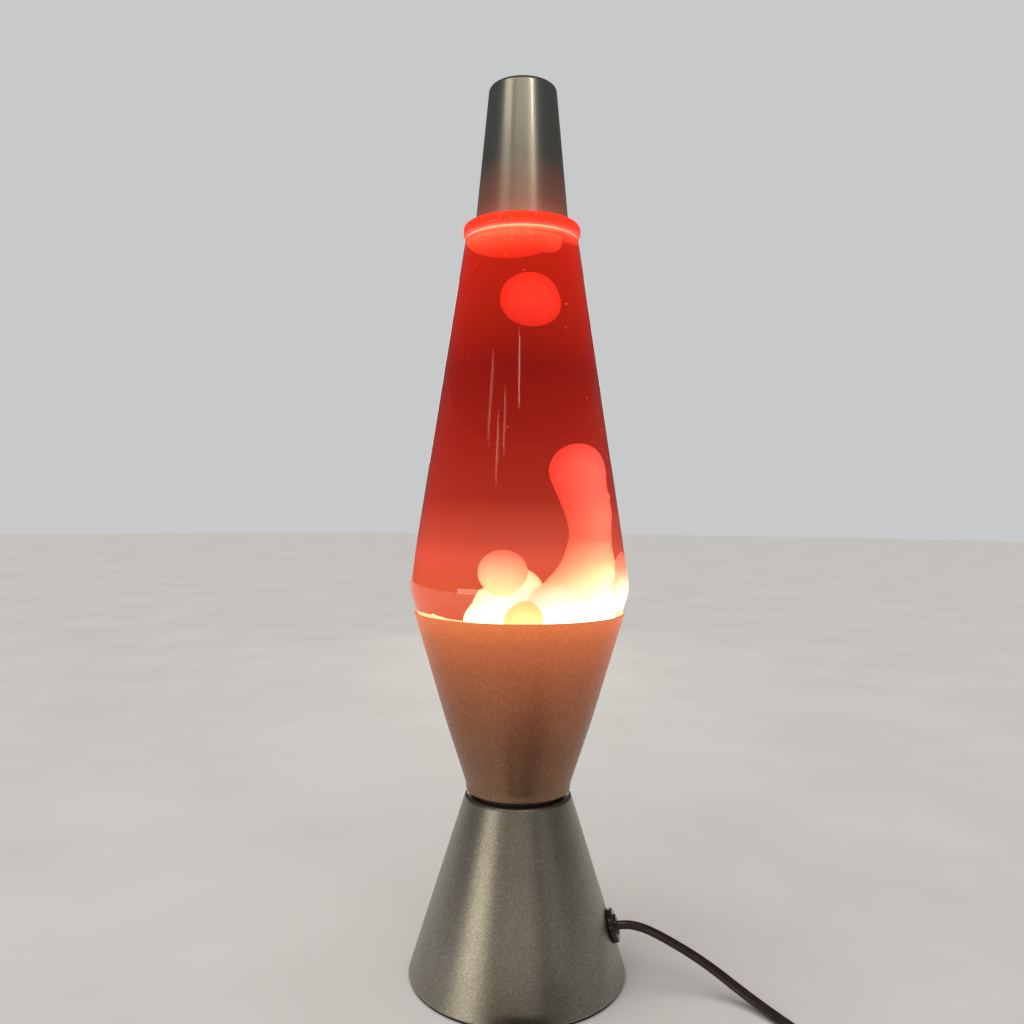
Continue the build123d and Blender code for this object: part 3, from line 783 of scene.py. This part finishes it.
BLACK = (0.012, 0.011, 0.011, 1)
# Painted light on the cup: a glow added as emission and a warm tint over its paint, both by height in
# millimetres and strongest at the lip, for the light that the wax throws on it.
CUP_PAINTED_GLOW = [
    (88, (0.004, 0.001, 0.0003, 1)),
    (110, (0.02, 0.003, 0.001, 1)),
    (130, (0.07, 0.011, 0.003, 1)),
    (147, (0.17, 0.026, 0.008, 1)),
    (160, (0.34, 0.058, 0.016, 1)),
    (170, (0.62, 0.120, 0.030, 1)),
]
CUP_PAINTED_TINT = [
    (88, (0.74, 0.47, 0.34, 1)),
    (115, (0.78, 0.43, 0.30, 1)),
    (150, (0.93, 0.44, 0.27, 1)),
    (170, (1, 0.46, 0.25, 1)),
]
materials = {
    "base_cone": silver_paint("silver_paint"),
    "base_cup": silver_paint("silver_paint_cup_painted_glow", CUP_PAINTED_GLOW, CUP_PAINTED_TINT),
    "top_cap": cap_metal(),
    "waist_ring": moulding("black_spacer", BLACK, 0.6),
    "foot_ring": moulding("foot_rubber", (0.02, 0.018, 0.016, 1), 0.8, 0.05, 1200),
    "bottom_cover": moulding("fibre_board", (0.03, 0.025, 0.02, 1), 0.85, 0.08, 700),
    "socket_body": moulding("lampholder", (0.03, 0.015, 0.01, 1), 0.3, 0.02),
    "socket_shell": metal("brass", colour(214, 176, 92), 0.28),
    "socket_bracket": metal("zinc_steel", colour(178, 180, 178), 0.36),
    "socket_leads": moulding("lead_insulation", BLACK, 0.45),
    "bulb_glass": clear_glass("clear_glass", (1, 1, 1, 1)),
    "bulb_cap": metal("bulb_metal", colour(196, 194, 190), 0.3),
    "bulb_insulator": moulding("black_glass", (0.01, 0.01, 0.012, 1), 0.1, 0.0),
    "bulb_tip": metal("solder", colour(168, 168, 172), 0.5, 0.05),
    "crown_cap": metal("crown_steel", colour(196, 192, 180), 0.28),
    "crown_liner": moulding("seal", colour(205, 198, 186), 0.7),
    "cord_bushing": moulding("bushing_nylon", BLACK, 0.18, 0.01, 900),
    "switch_cover": moulding("black_moulding", (0.016, 0.015, 0.015, 1), 0.42, 0.05, 1700),
    "bottle": bottle_glass(),
}
for node in ("centre_contact", "terminal_screws", "plug_blades"):
    materials[node] = materials["socket_shell"]
for node in ("bracket_screws", "bracket_washers", "bracket_nuts", "switch_screws"):
    materials[node] = materials["socket_bracket"]
for node in ("switch_base", "switch_wheel", "plug_body"):
    materials[node] = materials["switch_cover"]
materials["bulb_stem"] = materials["bulb_glass"]
materials["bulb_wires"] = materials["bulb_cap"]
for node, made in materials.items():
    nodes[node].data.materials.clear()
    nodes[node].data.materials.append(made)

cord.data.materials.append(moulding("cord_vinyl", (0.016, 0.010, 0.009, 1), 0.34, 0.03, 700))

# The wax's colours below are its own colour and painted light together: pale yellow and near white low down,
# where the bulb's light is painted strongest, and deep red higher up, where it is painted faint.
hot_wax = wax("hot_wax", 18, [
    (136, (0.50, 0.07, 0.025)),
    (152, (0.85, 0.25, 0.110)),
    (165, (1.90, 1.05, 0.80)),
    (172, (1.95, 1.08, 0.88)),
    (177, (1.85, 1.02, 0.74)),
    (186, (1.60, 0.88, 0.43)),
    (195, (1.25, 0.38, 0.185)),
    (204, (1.00, 0.112, 0.070)),
    (222, (0.92, 0.066, 0.042)),
    (248, (0.88, 0.044, 0.032)),
])
ball_wax = wax("ball_wax", 16, [
    (179, (1.60, 1.35, 0.66)),
    (183, (1.50, 1.20, 0.56)),
    (189, (1.15, 0.68, 0.35)),
    (197, (0.98, 0.260, 0.145)),
    (200, (0.94, 0.200, 0.120)),
])
lump_wax = wax("lump_wax", 29, [
    (150, (0.70, 0.14, 0.06)),
    (165, (1.80, 1.05, 0.75)),
    (172, (1.90, 1.15, 0.64)),
    (184, (1.70, 1.08, 0.56)),
    (190, (1.50, 0.98, 0.52)),
    (194, (1.20, 0.75, 0.36)),
])
wall_wax = wax("wall_wax", 4, [
    (158, (0.80, 0.30, 0.14)),
    (167, (1.15, 0.55, 0.25)),
    (172, (1.50, 1.00, 0.55)),
    (178, (1.95, 2.00, 1.30)),
    (184, (1.80, 1.40, 0.85)),
    (188, (1.35, 0.70, 0.40)),
    (191, (1.05, 0.34, 0.185)),
    (197, (0.92, 0.150, 0.085)),
])
dome_wax = wax("dome_wax", 8, [
    (160, (1.45, 1.30, 0.50)), (172, (1.35, 1.24, 0.41)), (182, (1.30, 1.20, 0.37)),
])
cool_wax = wax("cool_wax", 5, [
    (250, (0.92, 0.050, 0.034)), (300, (0.92, 0.036, 0.022)), (330, (0.84, 0.026, 0.014)),
    (338, (0.90, 0.090, 0.040)), (343, (0.95, 0.210, 0.085)),
])


# ---- bottle contents ------------------------------------------------------------------------

# The liquid fills the glass wall too, to just under its outer skin, so that no inner face of glass shows.
UNDER_SKIN = 0.35
LIQUID_FLOOR = 3.6
LIQUID_FLOOR_ROUNDING = 5
LIQUID_WIDEST_ROUNDING = 15
taper_slope = (WIDEST_R - FOOT_R) / (WIDEST_Z - FOOT_Z)
liquid_foot_z = FOOT_Z + LIQUID_FLOOR
liquid_foot_r = FOOT_R + (liquid_foot_z - FOOT_Z) * taper_slope - UNDER_SKIN
liquid = lathe("liquid", [
    (0, liquid_foot_z),
    (liquid_foot_r, liquid_foot_z, LIQUID_FLOOR_ROUNDING),
    (WIDEST_R - UNDER_SKIN, WIDEST_Z, LIQUID_WIDEST_ROUNDING),
    (CONE_TOP_R - UNDER_SKIN, LIQUID_Z),
    (0, LIQUID_Z),
], "bottle", red_liquid())
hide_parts("lamp_liquid")

# Each wax piece is worked out in a box, on a grid with one of these steps.
COARSE, MIDDLE, FINE = 0.9, 0.8, 0.7
mass = wax_piece(
    "wax_mass_molten", mass_field, (-52, -52, 136), (52, 52, 250), COARSE, "bottle", hot_wax,
)
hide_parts("wax_mass")
wax_piece("wax_lumps", lumps_field, (-26, -35, 150), (14, 6, 194), MIDDLE, "bottle", lump_wax)
wax_piece("wax_on_wall", wall_wax_field, (-52, -44, 158), (52, 8, 202), MIDDLE, "bottle", wall_wax)
left_ball = wax_piece(
    "wax_ball_resting", ball_field, (-19, -34, 177), (5, -10, 202), FINE, "bottle", ball_wax,
)
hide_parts("wax_ball")
dome = wax_piece(
    "wax_dome_front", dome_field, (-10, -42, 158), (14, -17, 183), FINE, "bottle", dome_wax,
)
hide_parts("wax_dome")
pancake = wax_piece(
    "wax_pancake_top", pancake_field, (-25, -24, 326), (19, 17, 345), FINE, "bottle", cool_wax,
)
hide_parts("wax_pancake")
blob = wax_piece(
    "wax_blob_free", blob_field, (-11, -26, 295), (18, 2, 328), FINE, "wax_blob", cool_wax,
)
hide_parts("wax_blob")


POINTS_PER_WIRE_TURN = 12
FLOOR_COIL_RING, FLOOR_COIL_Z = 27.0, FOOT_Z + 6.4
FILAMENT_HALF, FILAMENT_Z, FILAMENT_RISE = 6.5, 104.3, 2.3


def helix(name, centre_line, coil_radius, wire_radius, turns, closed, body, material):
    """A wire coil wound about a line; centre_line gives a point and two cross directions for 0 to 1."""
    data = bpy.data.curves.new(name, "CURVE")
    data.dimensions = "3D"
    data.bevel_depth = 1.0
    data.bevel_resolution = 2
    data.use_fill_caps = True
    spline = data.splines.new("POLY")
    count = turns * POINTS_PER_WIRE_TURN
    spline.points.add(count - 1)
    for i in range(count):
        share = i / count if closed else i / (count - 1)
        middle, across, up = centre_line(share)
        angle = 2 * math.pi * turns * share
        place = middle + coil_radius * (math.cos(angle) * across + math.sin(angle) * up)
        spline.points[i].co = (*(place * MM), 1)
        spline.points[i].radius = wire_radius * MM
    spline.use_cyclic_u = closed
    coil = bpy.data.objects.new(name, data)
    scene.collection.objects.link(coil)
    data.materials.append(material)
    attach(coil, body)
    return coil


def round_floor(share):
    """The ring on the bottle's floor where the wire coil lies."""
    angle = 2 * math.pi * share
    out = Vector((math.cos(angle), math.sin(angle), 0))
    return Vector((0, 0, FLOOR_COIL_Z)) + FLOOR_COIL_RING * out, out, Vector((0, 0, 1))


def filament_bow(share):
    """The bow between the lead-in wires."""
    x = FILAMENT_HALF * (2 * share - 1)
    z = FILAMENT_Z + FILAMENT_RISE * (1 - (x / FILAMENT_HALF) ** 2)
    return Vector((x, 0, z)), Vector((0, 1, 0)), Vector((0, 0, 1))


floor_coil = helix(
    "floor_coil", round_floor, coil_radius=1.35, wire_radius=0.4, turns=90, closed=True,
    body="bottle", material=metal("coil_wire", colour(170, 168, 160), 0.35),
)
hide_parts("heat_coil")
filament = helix(
    "filament_coil", filament_bow, coil_radius=0.32, wire_radius=0.06, turns=44, closed=False,
    body="bulb", material=glowing("tungsten", (1.0, 0.62, 0.25, 1), 40.0),
)
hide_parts("filament")


BUBBLE_COUNT = 70
BUBBLE_HEIGHTS = (176, 338)
BUBBLE_RADII = (0.12, 0.34)
AT_THE_GLASS = 0.985


def make_bubbles():
    """Tiny gas bubbles: about two in three cling to the inside of the glass, the others hang free."""
    dice = random.Random(7)
    mesh = bmesh.new()
    for _ in range(BUBBLE_COUNT):
        z = dice.uniform(*BUBBLE_HEIGHTS)
        angle = dice.uniform(0, 2 * math.pi)
        reach = float(wall_radius(z)) * dice.choice((AT_THE_GLASS, AT_THE_GLASS, dice.uniform(0.4, 0.95)))
        size = dice.uniform(*BUBBLE_RADII) * MM
        place = Matrix.Translation((reach * math.cos(angle) * MM, reach * math.sin(angle) * MM, z * MM))
        bmesh.ops.create_icosphere(mesh, subdivisions=2, radius=size, matrix=place)
    made = bpy.data.meshes.new("bubbles")
    mesh.to_mesh(made)
    mesh.free()
    made.shade_smooth()
    # The bubbles' pale specks are painted glints: they glow as emission.
    made.materials.append(glowing("bubble_gleam", colour(255, 150, 130), 1.0))
    bubbles = bpy.data.objects.new("bubbles", made)
    scene.collection.objects.link(bubbles)
    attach(bubbles, "bottle")


make_bubbles()

# ---- floor and light ------------------------------------------------------------------------


FLOOR_RADIUS = 6.0


def make_floor():
    """A plain pale floor, wider than any view reaches."""
    mesh = bmesh.new()
    bmesh.ops.create_circle(mesh, cap_ends=True, segments=96, radius=FLOOR_RADIUS)
    made = bpy.data.meshes.new("floor")
    mesh.to_mesh(made)
    mesh.free()
    finish, tree, shader = new_material("floor", colour(205, 202, 197), 0.75)
    tone = ramp(tree, noise(tree, 8, 4), [(0.3, colour(200, 197, 192)), (0.7, colour(208, 205, 200))])
    tree.links.new(tone, shader.inputs["Base Color"])
    made.materials.append(finish)
    floor = bpy.data.objects.new("floor", made)
    scene.collection.objects.link(floor)


WARM = (1.0, 0.88, 0.72)
RED_THROUGH_LIQUID = (0.76, 0.035, 0.020, 1)
AIM = Vector((0, 0, 0.2))

# How bright the room is: to the camera, in reflections, and added where it is seen through the glass
ROOM_SEEN, ROOM_REFLECTED, ROOM_THROUGH_GLASS = 0.76, 0.10, 0.56


def softbox(name, azimuth, low, high, width, radiance, distance=1.1, on_glass=False):
    """A rectangular lamp that stands between two heights and faces the object.

    Azimuth 0 is the camera's side, and positive is right of it. The lamp shows only as a reflection: it
    lights no matt surface, and shows in what is seen through glass only where asked.
    """
    data = bpy.data.lights.new(name, "AREA")
    data.shape = "RECTANGLE"
    data.size, data.size_y = width, high - low
    data.energy = radiance * math.pi * width * (high - low)
    data.color = WARM
    lamp = bpy.data.objects.new(name, data)
    a = math.radians(azimuth)
    lamp.location = (math.sin(a) * distance, -math.cos(a) * distance, (low + high) / 2)
    lamp.rotation_mode = "QUATERNION"
    lamp.rotation_quaternion = (lamp.location - AIM).to_track_quat("Z", "Y")
    lamp.visible_camera = False
    lamp.visible_transmission = on_glass
    lamp.visible_diffuse = False
    scene.collection.objects.link(lamp)


SKY_ENERGY = 3.1
SKY_SPREAD = math.radians(100)
SKY_LEAN = (math.radians(14), math.radians(-18), 0)


def sky():
    """Even soft light from above, which shows in no reflection."""
    data = bpy.data.lights.new("sky", "SUN")
    data.energy = SKY_ENERGY
    data.angle = SKY_SPREAD
    lamp = bpy.data.objects.new("sky", data)
    lamp.rotation_euler = SKY_LEAN
    lamp.visible_glossy = False
    lamp.visible_transmission = False
    scene.collection.objects.link(lamp)


def glow_ring(count, radius, z, power, tone, lamp_radius=0.012):
    """Small warm lamps round the bottle, for the light that the wax throws on its surroundings."""
    for i in range(count):
        data = bpy.data.lights.new(f"glow_{i}", "POINT")
        data.energy = power
        data.color = tone
        data.shadow_soft_size = lamp_radius
        lamp = bpy.data.objects.new(data.name, data)
        angle = 2 * math.pi * (i + 0.5) / count
        lamp.location = (radius * math.cos(angle), radius * math.sin(angle), z)
        lamp.visible_camera = False
        lamp.visible_glossy = False
        lamp.visible_transmission = False
        scene.collection.objects.link(lamp)


def studio_walls():
    """Pale where the camera looks at them, dim in reflections, and red through the bottle."""
    world = bpy.data.worlds.new("studio")
    world.use_nodes = True
    tree = world.node_tree
    background = tree.nodes["Background"]
    path = tree.nodes.new("ShaderNodeLightPath")
    through = path.outputs["Is Transmission Ray"]
    tone = ramp(tree, through, [(0.0, colour(226, 227, 228)), (1.0, RED_THROUGH_LIQUID)])
    tree.links.new(tone, background.inputs["Color"])
    both = tree.nodes.new("ShaderNodeMath")
    both.operation = "ADD"
    direct = spread(tree, path.outputs["Is Camera Ray"], ROOM_REFLECTED, ROOM_SEEN)
    tree.links.new(direct, both.inputs[0])
    tree.links.new(spread(tree, through, 0, ROOM_THROUGH_GLASS), both.inputs[1])
    tree.links.new(both.outputs["Value"], background.inputs["Strength"])
    scene.world = world


STREAKS = ((-43, 0.57, 0.69, 1.5), (-22, 0.57, 0.65, 1.8), (-30, 0.52, 0.60, 1.8))


def make_light():
    """Even light from above, and lamps that show in the metal and the glass.

    The wide soft lamps stand at the left, in front, at the right and behind. The slim ones make the thin
    lines on the metal and the streaks on the glass.
    """
    studio_walls()
    sky()
    softbox("cone_key", -52, 0.07, 0.28, 0.50, 4.2)
    softbox("cone_front", -2, 0.10, 0.37, 0.88, 0.6)
    softbox("cone_line", 19, 0.10, 0.37, 0.08, 0.8, 1.0)
    softbox("cone_right", 48, 0.10, 0.34, 0.40, 0.4)
    softbox("cap_key", -50, 1.12, 1.60, 0.55, 1.7)
    softbox("cap_front", -2, 1.14, 1.65, 1.00, 0.85)
    softbox("cap_line", 30, 0.98, 1.25, 0.07, 13.0, 0.9, on_glass=True)
    softbox("front_line", -3, 0.65, 0.75, 0.03, 2.8, 0.9, on_glass=True)
    for azimuth, low, high, radiance in STREAKS:
        softbox(f"streak_{low:.2f}", azimuth, low, high, 0.025, radiance, 0.9, on_glass=True)
    softbox("back", 180, 0.10, 0.60, 0.40, 2.4)
    glow_ring(count=8, radius=0.064, z=0.176, power=0.006, tone=(1.0, 0.28, 0.10))


make_floor()
make_light()
